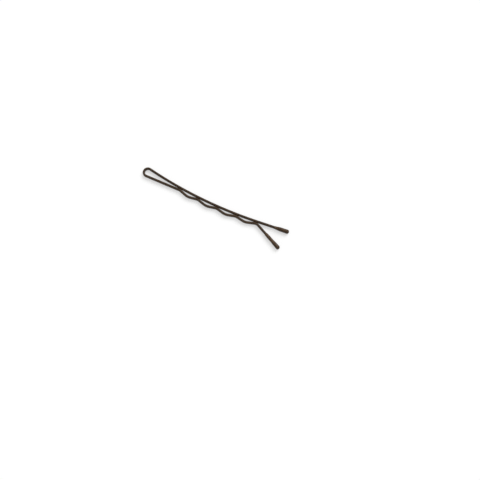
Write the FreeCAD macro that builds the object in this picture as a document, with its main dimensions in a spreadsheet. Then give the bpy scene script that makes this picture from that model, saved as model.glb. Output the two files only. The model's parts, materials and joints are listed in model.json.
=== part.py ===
"""A bobby pin: one flattened spring wire bent back on itself, with a dipped tip on each end.

The straight leg is bowed, so its inner side bulges against the crimped leg. Every bend of the
pin lies in one plane, drawn here as the XY plane about the centre of that bow, with the head
towards -X, the tips towards +X and the crimped leg on the -Y side. Lengths are in millimetres.
"""

import FreeCAD, Part
import math
import os
import Sketcher
from FreeCAD import Placement, Rotation, Vector

DRIVING_SIZES = (
    ("wire_thickness", 0.75, "wire, measured in the plane of the pin"),
    ("wire_flat", 0.45, "flat face of the wire between its two round edges"),
    ("bow_radius", 142.0, "centre line of the straight leg's bow"),
    ("head_radius", 1.3, "centre line of the bend at the head"),
    ("lead_length", 11.89, "from the head to the first crest, along the bow"),
    ("crimp_count", 4, "waves pressed into the crimped leg"),
    ("crimp_pitch", 6.65, "from crest to crest, along the bow"),
    ("crimp_depth", 0.6, "from a crest to a trough"),
    ("crest_radius", 2.0, "centre line of a crest, which grips the straight leg"),
    ("trough_radius", 2.0, "centre line of a trough"),
    ("grip_gap", 0.05, "between the crests and the straight leg when the pin is shut"),
    ("straight_run", 10.32, "unbowed end of the straight leg's wire"),
    ("kick_radius", 2.0, "centre line of the bend that lifts the crimped end"),
    ("kick_angle", 30.5, "by which the crimped end lifts, in degrees"),
    ("tip_setback", 1.18, "by which the crimped leg stops short of the straight one"),
    ("straight_tip_length", 4.9, "straight leg's dipped tip, from its neck to its end"),
    ("crimped_tip_length", 6.5, "crimped leg's dipped tip, from its neck to its end"),
    ("tip_film", 0.26, "coating round the wire at the thick of a tip"),
    ("neck_film", 0.06, "coating round the wire where a tip begins"),
    ("straight_neck_length", 2.3, "taper from the neck to the thick of the straight leg's tip"),
    ("crimped_neck_length", 4.4, "taper from the neck to the thick of the crimped leg's tip"),
    ("nose_radius", 0.45, "rounding at the end of a tip"),
    ("end_cover", 0.55, "coating over the end of the wire"),
)

# Shared expressions, in terms of the cells of the sheet
CREST_LINE = "(Sizes.bow_radius + Sizes.wire_thickness + Sizes.grip_gap)"
CRIMP_TURN = "(Sizes.crimp_pitch / Sizes.bow_radius * 1 rad)"
LEAD_TURN = "(Sizes.lead_length / Sizes.bow_radius * 1 rad)"
GRIP_TURN = f"(Sizes.crimp_count * {CRIMP_TURN})"
NECK_HALF = "(Sizes.wire_thickness / 2 + Sizes.neck_film)"
TIP_HALF = "(Sizes.wire_thickness / 2 + Sizes.tip_film)"
KICK_REACH = "(Sizes.straight_run - Sizes.tip_setback)"

# How a sketch refers to its upright axis and its origin, and to the points of an edge
V_AXIS, ROOT = range(-2, 0)
START, END, CENTRE = range(1, 4)

HALF_TURN_ANGLE = 180.0

document = FreeCAD.newDocument("bobby_pin")


def make_sheet():
    """Spreadsheet with one driving size on each row, named by its alias."""
    sheet = document.addObject("Spreadsheet::Sheet", "Sizes")
    for row, (alias, value, meaning) in enumerate(DRIVING_SIZES, start=1):
        sheet.set(f"A{row}", meaning)
        sheet.set(f"B{row}", str(value))
        sheet.setAlias(f"B{row}", alias)
    document.recompute()
    return sheet


sizes = make_sheet()


def number(expression):
    """The plain number that an expression gives now, in millimetres or radians."""
    value = sizes.evalExpression(expression)
    if isinstance(value, FreeCAD.Units.Quantity):
        is_angle = value.Unit == FreeCAD.Units.Angle
        return value.getValueAs("rad").Value if is_angle else value.Value
    return float(value)


def origin_feature(body, role):
    """One of a body's own base planes or axes."""
    return next(feature for feature in body.Origin.OriginFeatures if feature.Role == role)


def new_body(label):
    """Empty body for one sub-part."""
    body = document.addObject("PartDesign::Body", label)
    body.Label = label
    return body


def new_sketch(body, name, plane="XY_Plane", turn=None, lift=None):
    """Sketch on a base plane, turned about the bow's centre or lifted off the plane."""
    sketch = body.newObject("Sketcher::SketchObject", f"{body.Name}_{name}")
    sketch.AttachmentSupport = [(origin_feature(body, plane), "")]
    sketch.MapMode = "FlatFace"
    if turn:
        sketch.AttachmentOffset = Placement(Vector(), Rotation(Vector(0, 0, 1), 0))
        sketch.setExpression("AttachmentOffset.Rotation.Angle", turn)
    if lift:
        sketch.setExpression("AttachmentOffset.Base.z", lift)
    return sketch


def dimension(sketch, name, expression, kind, *places):
    """Dimension of a sketch, bound to the sheet."""
    index = sketch.addConstraint(Sketcher.Constraint(kind, *places, number(expression)))
    sketch.renameConstraint(index, name)
    sketch.setExpression(f"Constraints.{name}", expression)


def relate(sketch, kind, *places):
    """Relation without a size, such as a tangent."""
    sketch.addConstraint(Sketcher.Constraint(kind, *places))


def arc(sketch, centre, first, last):
    """Arc about a centre, counter-clockwise from one point to another."""
    start_angle = math.atan2(first.y - centre.y, first.x - centre.x)
    end_angle = math.atan2(last.y - centre.y, last.x - centre.x)
    circle = Part.Circle(centre, Vector(0, 0, 1), (first - centre).Length)
    return sketch.addGeometry(Part.ArcOfCircle(circle, start_angle, end_angle), False)


def line(sketch, first, last, construction=False):
    """Straight edge from one point to another."""
    return sketch.addGeometry(Part.LineSegment(first, last), construction)


def guide_circle(sketch, centre, radius):
    """Construction circle that an edge has to touch."""
    return sketch.addGeometry(Part.Circle(centre, Vector(0, 0, 1), radius), True)


def polar(radius, turn):
    """Point at a radius from the bow's centre, turned from -Y towards +X."""
    return Vector(radius * math.sin(turn), -radius * math.cos(turn), 0)


def crossing_tangent(first, first_radius, second, second_radius, side):
    """Ends of the line that touches two circles and crosses between them.

    With side 1 it leaves the first circle on its right and meets the second on its left.
    """
    span = second - first
    lean = math.asin((first_radius + second_radius) / span.Length)
    along = Rotation(Vector(0, 0, 1), math.degrees(side * lean)).multVec(span).normalize()
    left = Vector(-along.y, along.x, 0)
    return first - left * (side * first_radius), second + left * (side * second_radius)


def wire_section(body, path, name):
    """Section of the flattened wire, square to the start of a path."""
    sketch = body.newObject("Sketcher::SketchObject", f"{body.Name}_{name}")
    sketch.AttachmentSupport = [(path, "Edge1")]
    sketch.MapMode = "NormalToEdge"
    draw_wire_outline(sketch)
    return sketch


def draw_wire_outline(sketch):
    """Wire outline about the sketch's origin: two flats along its Y axis and two round edges."""
    edge = Vector(number("Sizes.wire_thickness / 2"), 0, 0)
    rise = Vector(0, number("Sizes.wire_flat / 2"), 0)
    upper = arc(sketch, rise, rise + edge, rise - edge)
    left = line(sketch, rise - edge, -rise - edge)
    lower = arc(sketch, -rise, -rise - edge, -rise + edge)
    right = line(sketch, -rise + edge, rise + edge)
    relate(sketch, "Tangent", upper, END, left, START)
    relate(sketch, "Tangent", left, END, lower, START)
    relate(sketch, "Tangent", lower, END, right, START)
    relate(sketch, "Tangent", right, END, upper, START)
    relate(sketch, "PointOnObject", upper, CENTRE, V_AXIS)
    relate(sketch, "Symmetric", upper, CENTRE, lower, CENTRE, ROOT, START)
    dimension(sketch, "edge_radius", "Sizes.wire_thickness / 2", "Radius", upper)
    dimension(sketch, "flat", "Sizes.wire_flat", "DistanceY", lower, CENTRE, upper, CENTRE)


def wire_pipe(body, path, name):
    """Wire carried along a path, added to its body."""
    section = wire_section(body, path, f"{name}_section")
    pipe = body.newObject("PartDesign::AdditivePipe", f"{body.Name}_{name}")
    pipe.Profile = section
    pipe.Spine = (path, [f"Edge{index + 1}" for index in range(len(path.Shape.Edges))])
    document.recompute()
    return pipe


def place_from_root(sketch, name, geometry, position, across, down):
    """Fix a point by how far it lies across from and below the bow's centre."""
    dimension(sketch, f"{name}_across", across, "DistanceX", geometry, position, ROOT, START)
    dimension(sketch, f"{name}_down", down, "DistanceY", geometry, position, ROOT, START)


def make_straight_leg():
    """Bowed leg from the head to the last crest, running on straight to its end."""
    body = new_body("straight_leg")
    path = new_sketch(body, "path", turn=f"{GRIP_TURN} / 2")
    bow = number("Sizes.bow_radius")
    turn = f"({GRIP_TURN} + {LEAD_TURN})"
    bow_arc = arc(path, Vector(), polar(bow, -number(turn)), polar(bow, 0))
    run = line(path, polar(bow, 0), polar(bow, 0) + Vector(number("Sizes.straight_run"), 0, 0))
    relate(path, "Coincident", bow_arc, CENTRE, ROOT, START)
    relate(path, "Tangent", bow_arc, END, run, START)
    relate(path, "PointOnObject", bow_arc, END, V_AXIS)
    dimension(path, "bow_radius", "Sizes.bow_radius", "Radius", bow_arc)
    dimension(path, "head", f"Sizes.bow_radius * sin({turn})", "DistanceX", bow_arc, START, ROOT, START)
    dimension(path, "run", "Sizes.straight_run", "Distance", run)
    document.recompute()
    wire_pipe(body, path, "wire")
    return body, path, run


def make_head_bend():
    """Bend at the head: from the end of the bow round to where the crimped leg runs off it."""
    body = new_body("head_bend")
    path = new_sketch(body, "path", turn=f"-({GRIP_TURN} / 2 + {LEAD_TURN})")
    head = number("Sizes.head_radius")
    crest = number("Sizes.crest_radius")
    crest_reach = f"({CREST_LINE} + Sizes.crest_radius)"
    centre = polar(number("Sizes.bow_radius + Sizes.head_radius"), 0)
    crest_centre = polar(number(crest_reach), number(LEAD_TURN))
    leave, meet = crossing_tangent(centre, head, crest_centre, crest, 1)
    bend = arc(path, centre, centre + Vector(0, head, 0), leave)
    shank = line(path, leave, meet, construction=True)
    first_crest = guide_circle(path, crest_centre, crest)
    relate(path, "PointOnObject", bend, CENTRE, V_AXIS)
    relate(path, "PointOnObject", bend, START, V_AXIS)
    relate(path, "Tangent", bend, END, shank, START)
    relate(path, "Tangent", shank, END, first_crest)
    dimension(path, "head_radius", "Sizes.head_radius", "Radius", bend)
    dimension(path, "bow_radius", "Sizes.bow_radius", "DistanceY", bend, START, ROOT, START)
    dimension(path, "crest_radius", "Sizes.crest_radius", "Radius", first_crest)
    across = f"{crest_reach} * sin({LEAD_TURN})"
    down = f"{crest_reach} * cos({LEAD_TURN})"
    dimension(path, "crest_across", across, "DistanceX", ROOT, START, first_crest, CENTRE)
    dimension(path, "crest_down", down, "DistanceY", first_crest, CENTRE, ROOT, START)
    document.recompute()
    wire_pipe(body, path, "wire")
    return body


def draw_shank(body):
    """Path of the plain stretch from the head to the top of the first crest."""
    path = new_sketch(body, "shank_path", turn=f"-{GRIP_TURN} / 2")
    head = number("Sizes.head_radius")
    crest = number("Sizes.crest_radius")
    head_reach = "(Sizes.bow_radius + Sizes.head_radius)"
    head_centre = polar(number(head_reach), -number(LEAD_TURN))
    top = polar(number(CREST_LINE), 0)
    crest_centre = top - Vector(0, crest, 0)
    leave, meet = crossing_tangent(head_centre, head, crest_centre, crest, 1)
    shank = line(path, leave, meet)
    first_crest = arc(path, crest_centre, top, meet)
    head_bend = guide_circle(path, head_centre, head)
    relate(path, "Tangent", shank, START, head_bend)
    relate(path, "Tangent", shank, END, first_crest, END)
    relate(path, "PointOnObject", first_crest, START, V_AXIS)
    relate(path, "PointOnObject", first_crest, CENTRE, V_AXIS)
    dimension(path, "head_radius", "Sizes.head_radius", "Radius", head_bend)
    dimension(path, "crest_radius", "Sizes.crest_radius", "Radius", first_crest)
    dimension(path, "crest_line", CREST_LINE, "DistanceY", first_crest, START, ROOT, START)
    across = f"{head_reach} * sin({LEAD_TURN})"
    down = f"{head_reach} * cos({LEAD_TURN})"
    place_from_root(path, "head", head_bend, CENTRE, across, down)
    document.recompute()
    return path


def draw_wave(body):
    """Path of the first wave, from the top of one crest through a trough to the next top."""
    path = new_sketch(body, "wave_path", turn=f"({CRIMP_TURN} - {GRIP_TURN}) / 2")
    crest = number("Sizes.crest_radius")
    trough = number("Sizes.trough_radius")
    half_turn = f"({CRIMP_TURN} / 2)"
    crest_reach = f"({CREST_LINE} + Sizes.crest_radius)"
    trough_reach = f"({CREST_LINE} + Sizes.crimp_depth - Sizes.trough_radius)"
    near_top = polar(number(CREST_LINE), -number(half_turn))
    near_centre = polar(number(crest_reach), -number(half_turn))
    low_centre = polar(number(trough_reach), 0)
    fall_start, fall_end = crossing_tangent(near_centre, crest, low_centre, trough, -1)
    mirrored = [Vector(-point.x, point.y, 0) for point in (near_top, near_centre, fall_start, fall_end)]
    far_top, far_centre, rise_end, rise_start = mirrored
    near_crest = arc(path, near_centre, fall_start, near_top)
    fall = line(path, fall_start, fall_end)
    low = arc(path, low_centre, fall_end, rise_start)
    rise = line(path, rise_start, rise_end)
    far_crest = arc(path, far_centre, far_top, rise_end)
    relate(path, "Tangent", near_crest, START, fall, START)
    relate(path, "Tangent", fall, END, low, START)
    relate(path, "Tangent", low, END, rise, START)
    relate(path, "Tangent", rise, END, far_crest, END)
    relate(path, "PointOnObject", low, CENTRE, V_AXIS)
    relate(path, "Symmetric", near_crest, CENTRE, far_crest, CENTRE, V_AXIS)
    relate(path, "Symmetric", near_crest, END, far_crest, START, V_AXIS)
    dimension(path, "crest_radius", "Sizes.crest_radius", "Radius", near_crest)
    dimension(path, "trough_radius", "Sizes.trough_radius", "Radius", low)
    dimension(path, "trough_down", trough_reach, "DistanceY", low, CENTRE, ROOT, START)
    top_across = f"{CREST_LINE} * sin({half_turn})"
    dimension(path, "top_across", top_across, "DistanceX", near_crest, END, ROOT, START)
    across = f"{crest_reach} * sin({half_turn})"
    down = f"{crest_reach} * cos({half_turn})"
    place_from_root(path, "crest", near_crest, CENTRE, across, down)
    document.recompute()
    return path


def draw_kick(body):
    """Path of the end that lifts away from the straight leg after the last crest."""
    path = new_sketch(body, "kick_path", turn=f"{GRIP_TURN} / 2")
    radius = number("Sizes.kick_radius")
    lift = math.radians(number("Sizes.kick_angle"))
    top = polar(number(CREST_LINE), 0)
    centre = top - Vector(0, radius, 0)
    leave = centre + Vector(radius * math.sin(lift), radius * math.cos(lift), 0)
    away = Vector(math.cos(lift), -math.sin(lift), 0)
    kick = arc(path, centre, leave, top)
    run = line(path, leave, leave + away * ((number(KICK_REACH) - leave.x) / away.x))
    relate(path, "PointOnObject", kick, CENTRE, V_AXIS)
    relate(path, "PointOnObject", kick, END, V_AXIS)
    relate(path, "Tangent", kick, START, run, START)
    dimension(path, "crest_line", CREST_LINE, "DistanceY", kick, END, ROOT, START)
    dimension(path, "kick_radius", "Sizes.kick_radius", "Radius", kick)
    across = "Sizes.kick_radius * sin(Sizes.kick_angle)"
    dimension(path, "kick_across", across, "DistanceX", ROOT, START, kick, START)
    dimension(path, "reach", KICK_REACH, "DistanceX", ROOT, START, run, END)
    document.recompute()
    return path, run


def make_crimped_leg():
    """Wavy leg: a plain shank, waves repeated about the bow's centre and a lifted end."""
    body = new_body("crimped_leg")
    wire_pipe(body, draw_shank(body), "shank")
    wave = wire_pipe(body, draw_wave(body), "wave")
    crimps = body.newObject("PartDesign::PolarPattern", "crimped_leg_crimps")
    crimps.Originals = [wave]
    crimps.Axis = (origin_feature(body, "Z_Axis"), [""])
    crimps.Mode = "Spacing"
    crimps.setExpression("Offset", CRIMP_TURN)
    crimps.setExpression("Occurrences", "Sizes.crimp_count")
    body.Tip = crimps
    document.recompute()
    path, run = draw_kick(body)
    wire_pipe(body, path, "kick")
    return body, path, run


def socket_depth(leg):
    """How far a leg's wire reaches into its tip, from the neck to the end of the wire."""
    return f"(Sizes.{leg}_tip_length - Sizes.end_cover)"


def draw_tip_side(sketch, leg):
    """Outline of one half of a leg's tip beside its axis, from the neck to the rounded end."""
    tip_length = f"Sizes.{leg}_tip_length"
    neck_length = f"Sizes.{leg}_neck_length"
    length = number(tip_length)
    neck = number(neck_length)
    nose = number("Sizes.nose_radius")
    thin = number(NECK_HALF)
    thick = number(TIP_HALF)
    mouth = line(sketch, Vector(), Vector(0, thin, 0))
    taper = line(sketch, Vector(0, thin, 0), Vector(neck, thick, 0))
    flank = line(sketch, Vector(neck, thick, 0), Vector(length - nose, thick, 0))
    nose_centre = Vector(length - nose, thick - nose, 0)
    rounding = arc(sketch, nose_centre, Vector(length, thick - nose, 0), Vector(length - nose, thick, 0))
    face = line(sketch, Vector(length, thick - nose, 0), Vector(length, 0, 0))
    middle = line(sketch, Vector(length, 0, 0), Vector())
    relate(sketch, "Coincident", mouth, START, ROOT, START)
    relate(sketch, "Coincident", mouth, END, taper, START)
    relate(sketch, "Coincident", taper, END, flank, START)
    relate(sketch, "Tangent", flank, END, rounding, END)
    relate(sketch, "Tangent", rounding, START, face, START)
    relate(sketch, "Coincident", face, END, middle, START)
    relate(sketch, "Coincident", middle, END, mouth, START)
    relate(sketch, "Vertical", mouth)
    relate(sketch, "Horizontal", flank)
    relate(sketch, "Horizontal", middle)
    relate(sketch, "Vertical", face)
    dimension(sketch, "neck_half", NECK_HALF, "DistanceY", ROOT, START, mouth, END)
    dimension(sketch, "neck_length", neck_length, "DistanceX", ROOT, START, taper, END)
    dimension(sketch, "tip_half", TIP_HALF, "DistanceY", ROOT, START, taper, END)
    dimension(sketch, "nose_radius", "Sizes.nose_radius", "Radius", rounding)
    dimension(sketch, "tip_length", tip_length, "DistanceX", ROOT, START, middle, START)
    document.recompute()


def make_tip(leg):
    """A leg's dipped tip along +X from its neck: an oval club with a socket that the wire's end fills."""
    label = f"{leg}_leg_tip"
    body = new_body(label)
    side = new_sketch(body, "side")
    draw_tip_side(side, leg)
    flat = body.newObject("PartDesign::Pad", f"{label}_flat")
    flat.Profile = side
    flat.Midplane = True
    flat.setExpression("Length", "Sizes.wire_flat")
    other_flat = body.newObject("PartDesign::Mirrored", f"{label}_other_flat")
    other_flat.Originals = [flat]
    other_flat.MirrorPlane = (origin_feature(body, "XZ_Plane"), [""])
    body.Tip = other_flat
    document.recompute()
    crown_side = new_sketch(body, "crown_side", lift="Sizes.wire_flat / 2")
    draw_tip_side(crown_side, leg)
    crown = body.newObject("PartDesign::Revolution", f"{label}_crown")
    crown.Profile = crown_side
    crown.ReferenceAxis = (crown_side, ["H_Axis"])
    crown.Angle = HALF_TURN_ANGLE
    document.recompute()
    other_crown = body.newObject("PartDesign::Mirrored", f"{label}_other_crown")
    other_crown.Originals = [crown]
    other_crown.MirrorPlane = (origin_feature(body, "XY_Plane"), [""])
    body.Tip = other_crown
    document.recompute()
    mouth = new_sketch(body, "mouth", plane="YZ_Plane")
    draw_wire_outline(mouth)
    socket = body.newObject("PartDesign::Pocket", f"{label}_socket")
    socket.Profile = mouth
    socket.Reversed = True
    socket.setExpression("Length", socket_depth(leg))
    document.recompute()
    return body


def tip_seat(leg, path, run):
    """Where a leg's tip goes: its neck on the wire, with the wire's end at the bottom of its socket."""
    start = path.Placement.multVec(path.getPoint(run, START))
    end = path.Placement.multVec(path.getPoint(run, END))
    along = (end - start).normalize()
    return Placement(end - along * number(socket_depth(leg)), Rotation(Vector(1, 0, 0), along))


straight_leg, straight_path, straight_end = make_straight_leg()
head_bend = make_head_bend()
crimped_leg, kick_path, crimped_end = make_crimped_leg()
straight_leg_tip = make_tip("straight")
crimped_leg_tip = make_tip("crimped")
straight_leg_tip.Placement = tip_seat("straight", straight_path, straight_end)
crimped_leg_tip.Placement = tip_seat("crimped", kick_path, crimped_end)
document.recompute()
sub_parts = (straight_leg, head_bend, crimped_leg, straight_leg_tip, crimped_leg_tip)

# The pin lies flat with its origin under the middle of its outline
outline = Part.makeCompound([body.Shape for body in sub_parts]).optimalBoundingBox(False)
to_origin = Placement(Vector(-outline.Center.x, -outline.Center.y, -outline.ZMin), Rotation())
for body in sub_parts:
    body.Placement = to_origin * body.Placement
document.recompute()

faults = [item.Name for item in document.Objects if {"Invalid", "Error"} & set(item.State)]
faults += [body.Label for body in sub_parts if body.Shape.isNull() or not body.Shape.isValid()]
if faults:
    raise RuntimeError(f"these objects failed: {', '.join(faults)}")

os.makedirs("parts", exist_ok=True)
for body in sub_parts:
    body.Shape.exportStep(f"parts/{body.Label}.step")
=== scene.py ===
"""Dresses a bobby pin: one enamelled spring wire with a dipped tip on each end, on a plain white stage.

The file is laid out as a Blender add-on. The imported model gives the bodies, the joint and the frame, where
+X runs from the head to the tips, +Z is up and the crimped leg is on the -Y side. Lengths are in metres and
angles in radians.
"""

import json
import math

import bpy
import numpy as np
from bpy.props import FloatProperty, FloatVectorProperty, IntProperty, PointerProperty
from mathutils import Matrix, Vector

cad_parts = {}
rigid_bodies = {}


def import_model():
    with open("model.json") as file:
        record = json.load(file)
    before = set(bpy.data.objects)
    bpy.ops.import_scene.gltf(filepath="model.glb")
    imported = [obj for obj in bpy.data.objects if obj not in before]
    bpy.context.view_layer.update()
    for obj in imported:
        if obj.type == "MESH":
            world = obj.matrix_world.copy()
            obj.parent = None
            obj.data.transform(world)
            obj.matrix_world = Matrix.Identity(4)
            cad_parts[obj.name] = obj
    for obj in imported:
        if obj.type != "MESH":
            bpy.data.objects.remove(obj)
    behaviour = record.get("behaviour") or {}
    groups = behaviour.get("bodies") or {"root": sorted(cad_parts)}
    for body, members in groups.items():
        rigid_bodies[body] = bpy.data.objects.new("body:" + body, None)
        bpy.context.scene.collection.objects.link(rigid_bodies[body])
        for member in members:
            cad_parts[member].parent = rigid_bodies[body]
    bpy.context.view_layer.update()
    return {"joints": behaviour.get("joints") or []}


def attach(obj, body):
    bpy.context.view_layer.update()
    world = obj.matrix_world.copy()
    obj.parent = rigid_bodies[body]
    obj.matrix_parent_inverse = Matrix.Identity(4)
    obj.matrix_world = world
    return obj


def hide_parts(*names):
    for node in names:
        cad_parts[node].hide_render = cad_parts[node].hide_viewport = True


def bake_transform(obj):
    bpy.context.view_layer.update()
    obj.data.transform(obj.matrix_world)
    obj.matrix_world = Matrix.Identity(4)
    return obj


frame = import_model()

bl_info = {
    "name": "Bobby pin",
    "version": (1, 0, 0),
    "blender": (4, 5, 0),
    "location": "3D View > Sidebar > Bobby pin",
    "description": "Enamelled wire and dipped tips for a bobby pin, with a plain stage",
    "category": "Object",
}

SPREAD = frame["joints"][0]
HEAD_CENTRE = np.array(SPREAD["pos_m"])
STRAIGHT_SIDE = SPREAD["parent"]
CRIMPED_SIDE = SPREAD["child"]

# How finely the skins are divided
RING_SPACING = 0.0001
EDGE_POINTS = 21
QUARTER_ROWS = 14
SHARP_ANGLE = math.radians(40)

# How far the roughness of a coating strays to either side of its own
ROUGHNESS_STRAY = 0.4

# Middle of a cloudy pattern, and the cover at which a dipped coating has its even colour
PATTERN_MIDDLE = 0.5
EVEN_COVER = 0.6

# Share of the slow wave in the stray of a tip's rim
RIM_SLOW_SHARE = 0.7

# Relief of the coatings
ENAMEL_PEEL_DEPTH = 0.000016
DIE_LINE_DEPTH = 0.00001
DUST_HEIGHT = 0.000012
RESIN_WAVE_DEPTH = 0.00006
RESIN_PEEL_DEPTH = 0.00001
PIT_DEPTH = 0.000014

# Share of the camera's distance within which it sees nothing
NEAREST_SHARE = 0.01

# Names of the coordinates and attributes that the materials read
SKIN_UV = "skin"
STRETCHED = "stretched"
RUBBED = "rubbed"
COVERED = "covered"


def size(name, default, description):
    """Property for a length."""
    return FloatProperty(
        name=name,
        description=description,
        default=default,
        min=0.0,
        precision=6,
        subtype="DISTANCE",
        unit="LENGTH",
    )


def angle(name, default, description):
    """Property for an angle, with its default given in degrees."""
    return FloatProperty(
        name=name,
        description=description,
        default=math.radians(default),
        subtype="ANGLE",
        unit="ROTATION",
    )


def share(name, default, description):
    """Property for a share from 0 to 1."""
    return FloatProperty(
        name=name,
        description=description,
        default=default,
        min=0.0,
        max=1.0,
        subtype="FACTOR",
    )


def ratio(name, default, description):
    """Property for a plain number."""
    return FloatProperty(name=name, description=description, default=default)


def colour(name, default, description):
    """Property for a linear colour."""
    return FloatVectorProperty(
        name=name,
        description=description,
        default=default,
        size=3,
        min=0.0,
        max=1.0,
        subtype="COLOR",
    )


class WireSizes(bpy.types.PropertyGroup):
    """Sizes of the bent wire and how bending changes its section.

    The sizes are those of the wire's solids, but for the troughs, which are rounder.
    """

    thickness: size("Thickness", 0.00075, "Wire in the plane of the pin")
    flat: size("Flat", 0.00045, "Flat face of the wire between its two round edges")
    bow_radius: size("Bow radius", 0.142, "Centre line of the straight leg's bow")
    head_radius: size("Head radius", 0.0013, "Centre line of the bend at the head")
    lead_length: size("Lead", 0.01189, "From the head to the first crest, along the bow")
    crimp_count: IntProperty(
        name="Crimps",
        description="Waves pressed into the crimped leg",
        default=4,
        min=1,
    )
    crimp_pitch: size("Crimp pitch", 0.00665, "From crest to crest, along the bow")
    crimp_depth: size("Crimp depth", 0.0006, "From a crest to a trough")
    crest_radius: size("Crest radius", 0.002, "Centre line of a crest")
    trough_radius: size("Trough radius", 0.004, "Centre line of a trough")
    grip_gap: size("Grip gap", 0.00005, "Between the crests and the straight leg when the pin is shut")
    straight_run: size("Straight run", 0.01032, "Unbowed end of the straight leg")
    kick_radius: size("Kick radius", 0.002, "Centre line of the bend that lifts the crimped end")
    kick_angle: angle("Kick angle", 30.5, "By which the crimped end lifts")
    tip_setback: size("Tip setback", 0.00118, "By which the crimped leg stops short of the straight one")
    thinning: share("Thinning", 0.03, "Share of its thickness that the wire loses in the tightest bend")
    spreading: share("Spreading", 0.05, "Share of its flat that the wire gains in the tightest bend")
    settling: size("Settling", 0.0012, "Length over which a bend's change of section fades out")
    rub_length: size("Rub length", 0.0009, "Half length of a rubbed spot where a crest grips")


class TipSizes(bpy.types.PropertyGroup):
    """Sizes of the dipped tips and how the coating ran.

    The sizes are those of the tips' solids, but for the nose, which is longer.
    """

    straight_length: size("Straight length", 0.0049, "Straight leg's tip from its neck to its end")
    crimped_length: size("Crimped length", 0.0065, "Crimped leg's tip from its neck to its end")
    film: size("Film", 0.00026, "Coating round the wire at the thick of a tip")
    neck_film: size("Neck film", 0.00006, "Coating round the wire where a tip begins")
    straight_neck: size("Straight neck", 0.0023, "Straight leg's tip from its neck to its thick")
    crimped_neck: size("Crimped neck", 0.0044, "Crimped leg's tip from its neck to its thick")
    straight_step: ratio("Straight step", -0.9, "Swells of the straight tip: two above 0, one below")
    crimped_step: ratio("Crimped step", 1.3, "Swells of the crimped tip: two above 0, one below")
    nose_length: size("Nose length", 0.00062, "Rounded end of a tip")
    end_cover: size("End cover", 0.00055, "Coating over the end of the wire")
    lip: size("Lip", 0.00016, "Rounded rim of the coating at the neck")
    run: size("Run", 0.00012, "By which the rim of the coating strays along the wire")
    bead: size("Bead", 0.00003, "By which the coating is thinner before it gathers at the end")


class Finish(bpy.types.PropertyGroup):
    """Colours and gloss of the enamel and of the tips."""

    enamel: colour("Enamel", (0.0205, 0.0104, 0.0044), "Baked enamel on the wire")
    enamel_thin: colour("Thin enamel", (0.048, 0.027, 0.0132), "Enamel where it lies thin")
    steel: colour("Steel", (0.36, 0.33, 0.30), "Spring steel where the enamel is rubbed off")
    enamel_roughness: share("Enamel roughness", 0.42, "Roughness of the enamel")
    resin: colour("Resin", (0.0345, 0.0168, 0.0062), "Dipped coating of the tips")
    resin_thin: colour("Thin resin", (0.071, 0.039, 0.0168), "Coating where it lies thin")
    resin_roughness: share("Resin roughness", 0.32, "Roughness of the dipped coating")
    shine: share("Shine", 0.25, "Strength of the reflection on both coatings")
    shine_tint: colour("Shine tint", (1.0, 0.88, 0.75), "Colour of the reflection on both coatings")


class StageSetup(bpy.types.PropertyGroup):
    """Camera, light and floor."""

    azimuth: angle("Azimuth", 24.75, "Camera's turn about the pin, from looking along +Y")
    elevation: angle("Elevation", 75.0, "Camera's height above the horizon")
    distance: size("Distance", 0.2093, "From the camera to the point that it looks at")
    aim: FloatVectorProperty(
        name="Aim",
        description="Point in the middle of the picture",
        default=(0.01256, -0.00588, HEAD_CENTRE[2]),
        subtype="TRANSLATION",
        unit="LENGTH",
    )
    lens: FloatProperty(name="Lens", description="Focal length in millimetres", default=50.0, unit="CAMERA")
    floor_width: size("Floor width", 8.0, "Side of the floor")
    floor_white: share("Floor", 0.45, "White of the floor")
    floor_lift: share("Floor lift", 0.57, "Light that the floor adds where it is seen")
    fill: share("Fill", 0.42, "Even light from all round")
    key: FloatProperty(name="Key", description="Strength of the soft lamp", default=2.3, min=0.0)
    key_width: angle("Key width", 40.0, "Angle that the soft lamp fills")
    key_azimuth: angle("Key azimuth", 165.0, "Soft lamp's turn about the pin, measured as the camera's")
    key_height: angle("Key height", 52.0, "Soft lamp's height above the horizon")


def polar(radius, turn):
    """Point at a radius from the bow's centre, turned from -Y towards +X."""
    return radius * np.array([math.sin(turn), -math.cos(turn)])


def heading_vector(heading):
    """Unit vectors along headings, in the plane of the pin."""
    return np.stack([np.cos(heading), np.sin(heading)], axis=-1)


def raised(azimuth, elevation):
    """Direction from the pin to a lamp or camera, by its turn about the pin and its height."""
    level = math.cos(elevation)
    return Vector((math.sin(azimuth) * level, -math.cos(azimuth) * level, math.sin(elevation)))


def smooth(value):
    """Eased step from 0 to 1: three times the square less twice the cube of the clipped value."""
    value = np.clip(value, 0, 1)
    return value**2 * (3 - 2 * value)


def bend(radius, turn):
    """Step of a path that bends by a turn to the left, as its length and its turn."""
    return radius * abs(turn), turn


def crossing_line(first, first_radius, second, second_radius, side):
    """Length and heading of the line that touches two circles and crosses between them.

    It leans from the line of centres by the angle whose sine is the sum of the radii over the distance, and
    its length is the other side of that right triangle.
    """
    span = second - first
    distance = np.hypot(*span)
    radii = first_radius + second_radius
    heading = math.atan2(span[1], span[0]) + side * math.asin(radii / distance)
    return math.sqrt(distance**2 - radii**2), heading


def bow_turns(wire):
    """Turns about the bow's centre: of one wave, of half the gripping stretch, and where the head lies."""
    wave = wire.crimp_pitch / wire.bow_radius
    half_grip = wire.crimp_count * wave / 2
    head = -half_grip - wire.lead_length / wire.bow_radius
    return wave, half_grip, head


def bow_centre(wire):
    """Centre of the bow, found from the centre of the bend at the head."""
    return HEAD_CENTRE[:2] - polar(wire.bow_radius + wire.head_radius, bow_turns(wire)[-1])


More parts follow.
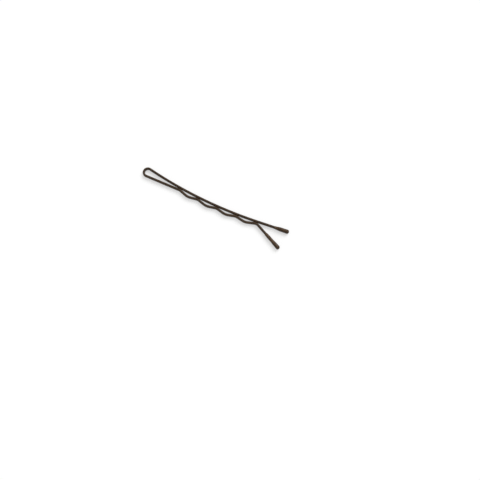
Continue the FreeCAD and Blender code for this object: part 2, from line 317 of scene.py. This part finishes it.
def wire_route(wire):
    """Start, heading and steps of the wire from the straight leg's end to the crimped leg's end.

    The steps come in three lists, one for each stretch of the wire.
    """
    wave_turn, half_grip, head_turn = bow_turns(wire)
    crest_line = wire.bow_radius + wire.thickness + wire.grip_gap
    crest_reach = crest_line + wire.crest_radius
    trough_reach = crest_line + wire.crimp_depth - wire.trough_radius

    head = polar(wire.bow_radius + wire.head_radius, head_turn)
    first_crest = polar(crest_reach, -half_grip)
    shank, shank_heading = crossing_line(head, wire.head_radius, first_crest, wire.crest_radius, 1)
    crest = polar(crest_reach, -wave_turn / 2)
    trough = polar(trough_reach, 0)
    flank, fall = crossing_line(crest, wire.crest_radius, trough, wire.trough_radius, -1)
    half_crest = bend(wire.crest_radius, fall + wave_turn / 2)
    wave = [half_crest, (flank, 0), bend(wire.trough_radius, -2 * fall), (flank, 0), half_crest]
    kick_reach = wire.straight_run - wire.tip_setback - wire.kick_radius * math.sin(wire.kick_angle)

    straight_leg = [(wire.straight_run, 0), bend(wire.bow_radius, head_turn - half_grip)]
    head_bend = [bend(wire.head_radius, math.pi + shank_heading - head_turn)]
    crimped_leg = [(shank, 0), bend(wire.crest_radius, -half_grip - shank_heading)]
    crimped_leg += wave * wire.crimp_count
    crimped_leg += [bend(wire.kick_radius, -wire.kick_angle), (kick_reach / math.cos(wire.kick_angle), 0)]

    bow_end = bow_centre(wire) + polar(wire.bow_radius, half_grip)
    start = bow_end + wire.straight_run * heading_vector(half_grip)
    return start, half_grip + math.pi, [straight_leg, head_bend, crimped_leg]


def trace(start, heading, steps):
    """Points, headings and bending along a path, a ring spacing apart or closer.

    After a share of a step, half of the turn made so far is a. The point is then at a chord of the length
    gone times sin(a) / a, in the direction of the step's first heading plus a. The bending is the turn over
    the length.
    """
    points, headings, bending = [[start]], [[heading]], [[0]]
    for length, turn in steps:
        gone = np.linspace(0, 1, math.ceil(length / RING_SPACING) + 1)[1:]
        half = turn * gone / 2
        chord = length * gone * np.sinc(half / np.pi)
        points.append(start + chord[:, None] * heading_vector(heading + half))
        headings.append(heading + turn * gone)
        bending.append(np.full(len(gone), turn / length))
        start, heading = points[-1][-1], headings[-1][-1]
    return np.concatenate(points), np.concatenate(headings), np.concatenate(bending)


def wire_line(wire):
    """Whole centre line of the wire, and the rows of it that each of its three stretches takes."""
    start, heading, stretches = wire_route(wire)
    points, headings, bending = trace(start, heading, sum(stretches, []))
    counts = [sum(math.ceil(length / RING_SPACING) for length, turn in steps) for steps in stretches]
    ends = np.cumsum([0] + counts)
    rows = [slice(first, last + 1) for first, last in zip(ends[:-1], ends[1:])]
    return points, headings, bending, rows


def oval(edge, flat):
    """Offsets round an oval section: half circles of the edge radius, moved apart by the flat.

    The edge and the flat are arrays, one value for each row. The offsets go from the left side over the top.
    """
    turn = np.linspace(0, np.pi, EDGE_POINTS)
    turn = np.concatenate([turn, turn + np.pi])
    side = np.repeat([0.5, -0.5], EDGE_POINTS)
    across = np.multiply.outer(edge, np.cos(turn))
    height = np.multiply.outer(edge, np.sin(turn)) + np.multiply.outer(flat, side)
    return across, height, turn


def rings_along(points, headings, across, height):
    """Rings of a skin: each point of a path, plus the offsets across its heading and upwards."""
    left = np.stack([-np.sin(headings), np.cos(headings)], axis=-1)
    place = points[:, None] + across[..., None] * left[:, None]
    return np.concatenate([place, HEAD_CENTRE[2] + height[..., None]], axis=-1)


def closed_skin(name, rings, first_pole, last_pole, map_start, attributes):
    """Object whose skin is a grid of rings, closed by a fan to a pole at each end.

    Row by row the rings lie along the piece, and each ring goes round it from left over the top, so that
    faces taken round the ring first point outwards. The map of the skin holds the distances along and round.
    """
    rows, columns = rings.shape[:2]
    places = np.concatenate([rings.reshape(-1, 3), [first_pole, last_pole]])
    index = np.arange(rows * columns).reshape(rows, columns)
    index = np.concatenate([index, index[:, :1]], axis=1)
    quads = np.stack([index[:-1, :-1], index[:-1, 1:], index[1:, 1:], index[1:, :-1]], axis=-1).reshape(-1, 4)
    pole = np.full(columns, rows * columns)
    first_fan = np.stack([pole, index[0, 1:], index[0, :-1]], axis=-1)
    last_fan = np.stack([pole + 1, index[-1, :-1], index[-1, 1:]], axis=-1)

    closed = np.concatenate([rings, rings[:, :1]], axis=1)
    round_it = np.linalg.norm(np.diff(closed, axis=1), axis=-1).cumsum(axis=1)
    round_it = np.concatenate([np.zeros((rows, 1)), round_it], axis=1)
    along = np.linalg.norm(np.diff(closed, axis=0), axis=-1).cumsum(axis=0)
    along = map_start + np.concatenate([np.zeros((1, columns + 1)), along])
    spot = np.stack([along, round_it], axis=-1)
    quad_map = np.stack([spot[:-1, :-1], spot[:-1, 1:], spot[1:, 1:], spot[1:, :-1]], axis=2)
    first_map = np.stack([spot[0, :-1], spot[0, 1:], spot[0, :-1]], axis=1)
    last_map = np.stack([spot[-1, :-1], spot[-1, :-1], spot[-1, 1:]], axis=1)
    skin_map = np.concatenate([quad_map.ravel(), first_map.ravel(), last_map.ravel()])

    mesh = bpy.data.meshes.new(name)
    mesh.from_pydata(places.tolist(), [], quads.tolist() + first_fan.tolist() + last_fan.tolist())
    mesh.uv_layers.new(name=SKIN_UV).data.foreach_set("uv", skin_map)
    for label, values in attributes.items():
        padded = np.concatenate([values.ravel(), [values[0].mean(), values[-1].mean()]])
        mesh.attributes.new(label, "FLOAT", "POINT").data.foreach_set("value", padded)
    mesh.shade_smooth()
    mesh.set_sharp_from_angle(angle=SHARP_ANGLE)
    piece = bpy.data.objects.new(name, mesh)
    bpy.context.scene.collection.objects.link(piece)
    return piece


def eased_bending(wire, bending):
    """Bending averaged over the settling length, as a share of the tightest bend: plus to the left."""
    window = np.hanning(round(wire.settling / RING_SPACING))
    return np.convolve(bending, window / window.sum(), mode="same") * wire.head_radius


def bent_section(wire, bending):
    """Edge radius and flat of the wire: it loses thickness and gains width in proportion to its bending."""
    lost = wire.thickness * wire.thinning * np.abs(bending)
    gained = wire.flat * wire.spreading * np.abs(bending)
    return (wire.thickness - lost) / 2, wire.flat + lost + gained


def stretched_skin(bending, turn):
    """How far the enamel is stretched: the bending, times the cosine round the section on its outer side."""
    return np.clip(-np.multiply.outer(bending, np.cos(turn)), 0, 1)


def rubbed_skin(wire, points, turn):
    """How far the enamel is rubbed: a bell about each crest along the bow, on the side that grips."""
    wave_turn, half_grip = bow_turns(wire)[:2]
    out = points - bow_centre(wire)
    crest = (np.arctan2(out[:, 0], -out[:, 1]) + half_grip) / wave_turn
    nearest = np.clip(np.round(crest), 0, wire.crimp_count)
    bell = np.exp(-(((crest - nearest) * wire.crimp_pitch / wire.rub_length) ** 2))
    return np.multiply.outer(bell, np.clip(np.cos(turn), 0, 1) ** 2)


def dipped_tip(name, wire, tip, shape, wire_end, heading, order):
    """Closed cup of coating: up the socket from its bottom, over the rim and out to the rounded nose.

    The shape is the tip's length, its neck's length and the step of its taper. Over the rim the coating
    rises by a quarter ellipse to the neck's film. Then it tapers up to its thick by a line plus one sine
    wave, which breaks it into two swells, or with a minus draws it into one. It gathers a little more towards
    the end, and closes by a quarter ellipse. The rim strays along the wire by two sine waves round the
    section, which fade out along the neck.
    """
    length, neck_length, step = shape
    edge = wire.thickness / 2
    nose_start = length - tip.nose_length
    quarter = np.linspace(0, np.pi / 2, QUARTER_ROWS)
    rim = tip.lip * (1 - np.cos(quarter))
    sleeve = np.linspace(tip.lip, nose_start, math.ceil(nose_start / RING_SPACING))
    nose = nose_start + tip.nose_length * np.sin(quarter[:-1])
    gone = np.concatenate([rim, sleeve[1:-1], nose])

    rounded = np.sqrt(1 - (1 - np.minimum(gone / tip.lip, 1)) ** 2)
    gathered = smooth((gone - neck_length) / (nose_start - neck_length))
    thick = tip.film - tip.bead * (1 - gathered)
    necked = np.minimum(gone / neck_length, 1)
    taper = necked + step * np.sin(2 * np.pi * necked) / (2 * np.pi)
    film = rounded * (tip.neck_film + (thick - tip.neck_film) * taper)
    closing = np.sqrt(1 - np.maximum((gone - nose_start) / tip.nose_length, 0) ** 2)
    edges = np.concatenate([[edge], (edge + film) * closing])
    flats = np.concatenate([[wire.flat], wire.flat * closing])
    across, height, turn = oval(edges, flats)

    slow, quick = RIM_SLOW_SHARE, 1 - RIM_SLOW_SHARE
    stray = (1 + slow * np.sin(turn + 2 * order) + quick * np.sin(3 * turn + order)) / 2
    shift = tip.run * np.multiply.outer(1 - smooth(necked), stray)
    socket_depth = length - tip.end_cover
    reach = np.concatenate([np.full((1, len(turn)), socket_depth), gone[:, None] + shift])

    forward = heading_vector(heading)
    neck = wire_end - forward * socket_depth
    rings = rings_along(np.tile(neck, (len(reach), 1)), np.full(len(reach), heading), across, height)
    rings[..., :2] += reach[..., None] * forward
    cover = np.concatenate([[0], film / tip.film])
    covered = np.broadcast_to(cover[:, None], reach.shape)
    socket_pole = (*wire_end, HEAD_CENTRE[2])
    nose_pole = (*(neck + forward * length), HEAD_CENTRE[2])
    return closed_skin(name, rings, socket_pole, nose_pole, 0, {COVERED: covered})


def set_input(tree, socket, value):
    """Set an input of a node, or link another node's output to it."""
    if isinstance(value, bpy.types.NodeSocket):
        tree.links.new(value, socket)
    else:
        socket.default_value = value


def add_node(tree, kind, inputs=None, **settings):
    """Node of a material with its settings, and its inputs set or linked."""
    node = tree.nodes.new(kind)
    for name, value in settings.items():
        setattr(node, name, value)
    for name, value in (inputs or {}).items():
        set_input(tree, node.inputs[name], value)
    return node


def new_material(name):
    """Empty node material with its output."""
    material = bpy.data.materials.new(name)
    material.use_nodes = True
    material.node_tree.nodes.clear()
    return material, material.node_tree, add_node(material.node_tree, "ShaderNodeOutputMaterial")


def ramp(tree, value, low, high):
    """Value taken from between two limits to the range from 0 to 1, eased at both ends."""
    limits = {"Value": value, "From Min": low, "From Max": high}
    return add_node(tree, "ShaderNodeMapRange", limits, interpolation_type="SMOOTHSTEP").outputs["Result"]


def mixed(tree, factor, first, second):
    """Colour between two others."""
    inputs = {"Factor_Float": factor, "A_Color": first, "B_Color": second}
    node = add_node(tree, "ShaderNodeMix", data_type="RGBA")
    sockets = {socket.identifier: socket for socket in node.inputs}
    for name, value in inputs.items():
        set_input(tree, sockets[name], value)
    return next(socket for socket in node.outputs if socket.identifier == "Result_Color")


def strayed(tree, value, middle):
    """Roughness that strays about its middle as a value goes from 0 to 1."""
    limits = {
        "Value": value,
        "To Min": middle * (1 - ROUGHNESS_STRAY),
        "To Max": middle * (1 + ROUGHNESS_STRAY),
    }
    return add_node(tree, "ShaderNodeMapRange", limits).outputs["Result"]


def opaque(rgb):
    """Colour with full alpha."""
    return (*rgb, 1.0)


def noise(tree, vector, scale, detail):
    """Cloudy pattern from 0 to 1."""
    inputs = {"Vector": vector, "Scale": scale, "Detail": detail}
    return add_node(tree, "ShaderNodeTexNoise", inputs).outputs["Fac"]


def maths(tree, operation, first, second):
    """Sum, product or other combination of two values."""
    return add_node(tree, "ShaderNodeMath", {0: first, 1: second}, operation=operation).outputs["Value"]


def dots(tree, vector, scale, size_share, chosen):
    """Small round dots, in the chosen share of the cells of a scatter: 1 at a dot's middle, 0 outside it."""
    cells = add_node(tree, "ShaderNodeTexVoronoi", {"Vector": vector, "Scale": scale})
    lot = add_node(tree, "ShaderNodeSeparateColor", {"Color": cells.outputs["Color"]}).outputs["Red"]
    drawn = maths(tree, "LESS_THAN", lot, chosen)
    return maths(tree, "MULTIPLY", drawn, ramp(tree, cells.outputs["Distance"], size_share, 0.0))


def bumps(tree, *layers):
    """Normal of a skin with several layers of relief, each a height pattern and its depth."""
    normal = None
    for height, depth in layers:
        inputs = {"Height": height, "Distance": depth}
        if normal:
            inputs["Normal"] = normal
        normal = add_node(tree, "ShaderNodeBump", inputs).outputs["Normal"]
    return normal


def enamel_material(finish):
    """Baked enamel over drawn wire: streaked along it, thin outside the bends, rubbed where crests grip."""
    material, tree, output = new_material("wire_enamel")
    place = add_node(tree, "ShaderNodeTexCoord").outputs["Object"]
    skin = add_node(tree, "ShaderNodeUVMap", uv_map=SKIN_UV).outputs["UV"]
    stretched = add_node(tree, "ShaderNodeAttribute", attribute_name=STRETCHED).outputs["Fac"]
    rubbed = add_node(tree, "ShaderNodeAttribute", attribute_name=RUBBED).outputs["Fac"]

    # Patterns: pools some millimetres long, lines left by the drawing die, mottling, and dust caught in it
    pools = noise(tree, place, scale=260.0, detail=4.0)
    along = add_node(tree, "ShaderNodeMapping", {"Vector": skin, "Scale": (300.0, 15000.0, 1.0)})
    lines = noise(tree, along.outputs["Vector"], scale=1.0, detail=3.0)
    mottle = noise(tree, place, scale=2400.0, detail=4.0)
    dust = dots(tree, place, scale=2100.0, size_share=0.22, chosen=0.16)

    # Tone: all these together, thinner outside the bends and where crests grip, darker at the dust
    cloud = maths(tree, "ADD", maths(tree, "ADD", pools, lines), mottle)
    worn = maths(tree, "MAXIMUM", stretched, rubbed)
    clear = ramp(tree, cloud, low=1.1, high=1.9)
    thin = maths(tree, "ADD", clear, maths(tree, "MULTIPLY", worn, mottle))
    thin = maths(tree, "SUBTRACT", thin, dust)
    enamel = mixed(tree, thin, opaque(finish.enamel), opaque(finish.enamel_thin))

    # Flecks of bare steel in the middle of the rubbed spots
    bare = ramp(tree, maths(tree, "MULTIPLY", rubbed, mottle), low=0.46, high=0.8)
    base = mixed(tree, bare, enamel, opaque(finish.steel))

    streaks = maths(tree, "ADD", lines, maths(tree, "SUBTRACT", mottle, PATTERN_MIDDLE))
    roughness = strayed(tree, streaks, finish.enamel_roughness)
    peel = noise(tree, place, scale=3300.0, detail=1.0)
    normal = bumps(tree, (peel, ENAMEL_PEEL_DEPTH), (lines, DIE_LINE_DEPTH), (dust, DUST_HEIGHT))
    shader = add_node(
        tree,
        "ShaderNodeBsdfPrincipled",
        {
            "Base Color": base,
            "Metallic": bare,
            "Roughness": roughness,
            "Normal": normal,
            "Specular IOR Level": finish.shine,
            "Specular Tint": opaque(finish.shine_tint),
        },
    )
    tree.links.new(shader.outputs["BSDF"], output.inputs["Surface"])
    return material


def resin_material(finish):
    """Dipped coating: warmer and glossier than the enamel, paler where thin, softly wavy with a few pits."""
    material, tree, output = new_material("tip_resin")
    place = add_node(tree, "ShaderNodeTexCoord").outputs["Object"]
    cover = add_node(tree, "ShaderNodeAttribute", attribute_name=COVERED).outputs["Fac"]

    # Patterns: slow drifts of colour, cloudy pigment, and pits where bubbles burst
    drift = noise(tree, place, scale=520.0, detail=3.0)
    pigment = noise(tree, place, scale=3000.0, detail=4.0)
    pits = dots(tree, place, scale=2300.0, size_share=0.24, chosen=0.2)

    # Tone: darkest at the thick of the coating
    cloud = maths(tree, "ADD", drift, pigment)
    deep = ramp(tree, cloud, low=0.75, high=1.25)
    depth = maths(tree, "ADD", deep, maths(tree, "SUBTRACT", cover, EVEN_COVER))
    base = mixed(tree, depth, opaque(finish.resin_thin), opaque(finish.resin))

    roughness = strayed(tree, drift, finish.resin_roughness)
    waves = noise(tree, place, scale=900.0, detail=1.0)
    peel = noise(tree, place, scale=4200.0, detail=1.0)
    hollows = maths(tree, "MULTIPLY", pits, -1.0)
    normal = bumps(tree, (waves, RESIN_WAVE_DEPTH), (peel, RESIN_PEEL_DEPTH), (hollows, PIT_DEPTH))
    shader = add_node(
        tree,
        "ShaderNodeBsdfPrincipled",
        {
            "Base Color": base,
            "Roughness": roughness,
            "Normal": normal,
            "Specular IOR Level": finish.shine,
            "Specular Tint": opaque(finish.shine_tint),
        },
    )
    tree.links.new(shader.outputs["BSDF"], output.inputs["Surface"])
    return material


def seen_directly(tree):
    """Whether a ray comes from the camera, a glossy surface or clear glass: 1 or 0."""
    path = add_node(tree, "ShaderNodeLightPath")
    seen = path.outputs["Is Camera Ray"]
    for name in ("Is Glossy Ray", "Is Transmission Ray"):
        seen = maths(tree, "MAXIMUM", seen, path.outputs[name])
    return seen


def floor_material(setup):
    """White floor that keeps shadows, lifted to white where it is seen."""
    material, tree, output = new_material("floor_white")
    lift = maths(tree, "MULTIPLY", seen_directly(tree), setup.floor_lift)
    paper = add_node(tree, "ShaderNodeBsdfDiffuse", {"Color": opaque([setup.floor_white] * 3)})
    glow = add_node(tree, "ShaderNodeEmission", {"Strength": lift})
    both = add_node(tree, "ShaderNodeAddShader", {0: paper.outputs["BSDF"], 1: glow.outputs["Emission"]})
    tree.links.new(both.outputs["Shader"], output.inputs["Surface"])
    return material


def studio_world(setup):
    """World that is white where it is seen and gives the even fill light elsewhere."""
    world = bpy.data.worlds.new("studio")
    world.use_nodes = True
    tree = world.node_tree
    tree.nodes.clear()
    limits = {"Value": seen_directly(tree), "To Min": setup.fill, "To Max": 1.0}
    strength = add_node(tree, "ShaderNodeMapRange", limits).outputs["Result"]
    light = add_node(tree, "ShaderNodeBackground", {"Color": opaque([1.0] * 3), "Strength": strength})
    output = add_node(tree, "ShaderNodeOutputWorld")
    tree.links.new(light.outputs["Background"], output.inputs["Surface"])
    return world


class MakeWire(bpy.types.Operator):
    """Make the enamelled wire: the straight leg, the head bend that flexes and the crimped leg"""

    bl_idname = "bobby_pin.wire"
    bl_label = "Make wire"

    def execute(self, context):
        wire = context.scene.pin_wire
        points, headings, bending, rows = wire_line(wire)
        bending = eased_bending(wire, bending)
        across, height, turn = oval(*bent_section(wire, bending))
        rings = rings_along(points, headings, across, height)
        centres = np.column_stack([points, np.full(len(points), HEAD_CENTRE[2])])
        skins = {STRETCHED: stretched_skin(bending, turn), RUBBED: rubbed_skin(wire, points, turn)}
        enamel = enamel_material(context.scene.pin_finish)
        pieces = []
        for node, part in zip(("straight_leg", "head_bend", "crimped_leg"), rows):
            attributes = {name: values[part] for name, values in skins.items()}
            ends = centres[part][[0, -1]]
            piece = closed_skin(f"{node}_wire", rings[part], *ends, part.start * RING_SPACING, attributes)
            piece.data.materials.append(enamel)
            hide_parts(node)
            pieces.append(piece)
        straight_leg, head_bend, crimped_leg = pieces
        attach(straight_leg, STRAIGHT_SIDE)
        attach(crimped_leg, CRIMPED_SIDE)
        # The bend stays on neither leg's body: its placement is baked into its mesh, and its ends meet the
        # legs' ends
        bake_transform(head_bend)
        return {"FINISHED"}


class MakeTips(bpy.types.Operator):
    """Make the two dipped tips, each a closed cup of coating round an end of the wire"""

    bl_idname = "bobby_pin.tips"
    bl_label = "Make tips"

    def execute(self, context):
        wire = context.scene.pin_wire
        tip = context.scene.pin_tip
        points, headings = wire_line(wire)[:2]
        resin = resin_material(context.scene.pin_finish)
        seats = {
            "straight": (points[0], headings[0] + np.pi, STRAIGHT_SIDE),
            "crimped": (points[-1], headings[-1], CRIMPED_SIDE),
        }
        for order, (leg, (wire_end, heading, body)) in enumerate(seats.items()):
            node = f"{leg}_leg_tip"
            shape = [getattr(tip, f"{leg}_{part}") for part in ("length", "neck", "step")]
            piece = dipped_tip(f"{node}_resin", wire, tip, shape, wire_end, heading, order)
            piece.data.materials.append(resin)
            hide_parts(node)
            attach(piece, body)
        return {"FINISHED"}


class MakeStage(bpy.types.Operator):
    """Make the white floor, the soft light and the camera"""

    bl_idname = "bobby_pin.stage"
    bl_label = "Make stage"

    def execute(self, context):
        scene = context.scene
        setup = scene.pin_stage
        half = setup.floor_width / 2
        corners = half * np.array([(-1, -1, 0), (1, -1, 0), (1, 1, 0), (-1, 1, 0)])
        mesh = bpy.data.meshes.new("floor")
        mesh.from_pydata(corners.tolist(), [], [(0, 1, 2, 3)])
        mesh.materials.append(floor_material(setup))
        floor = bpy.data.objects.new("floor", mesh)
        scene.collection.objects.link(floor)

        lamp = bpy.data.lights.new("soft_lamp", "SUN")
        lamp.energy = setup.key
        lamp.angle = setup.key_width
        key = bpy.data.objects.new("soft_lamp", lamp)
        key.rotation_euler = raised(setup.key_azimuth, setup.key_height).to_track_quat("Z", "Y").to_euler()
        scene.collection.objects.link(key)

        back = raised(setup.azimuth, setup.elevation)
        lens = bpy.data.cameras.new("camera")
        lens.lens = setup.lens
        lens.clip_start = setup.distance * NEAREST_SHARE
        camera = bpy.data.objects.new("camera", lens)
        camera.location = Vector(setup.aim) + back * setup.distance
        camera.rotation_euler = back.to_track_quat("Z", "Y").to_euler()
        scene.collection.objects.link(camera)
        scene.camera = camera
        scene.world = studio_world(setup)
        scene.view_settings.view_transform = "Standard"
        return {"FINISHED"}


class PinPanel(bpy.types.Panel):
    """Sizes and finishes of the bobby pin, and the operators that make it"""

    bl_idname = "VIEW3D_PT_bobby_pin"
    bl_label = "Bobby pin"
    bl_space_type = "VIEW_3D"
    bl_region_type = "UI"
    bl_category = "Bobby pin"

    def draw(self, context):
        layout = self.layout
        for name in SETTINGS:
            group = getattr(context.scene, name)
            for label in group.bl_rna.properties.keys():
                if label not in ("rna_type", "name"):
                    layout.prop(group, label)
        for operator in OPERATORS:
            layout.operator(operator.bl_idname)


SETTINGS = {"pin_wire": WireSizes, "pin_tip": TipSizes, "pin_finish": Finish, "pin_stage": StageSetup}
OPERATORS = (MakeWire, MakeTips, MakeStage)


def register():
    for kind in (*SETTINGS.values(), *OPERATORS, PinPanel):
        bpy.utils.register_class(kind)
    for name, kind in SETTINGS.items():
        setattr(bpy.types.Scene, name, PointerProperty(type=kind))


def unregister():
    for name in SETTINGS:
        delattr(bpy.types.Scene, name)
    for kind in (PinPanel, *OPERATORS, *SETTINGS.values()):
        bpy.utils.unregister_class(kind)


def main():
    """Make the pin and its stage."""
    register()
    bpy.ops.bobby_pin.wire()
    bpy.ops.bobby_pin.tips()
    bpy.ops.bobby_pin.stage()


if __name__ == "__main__":
    main()
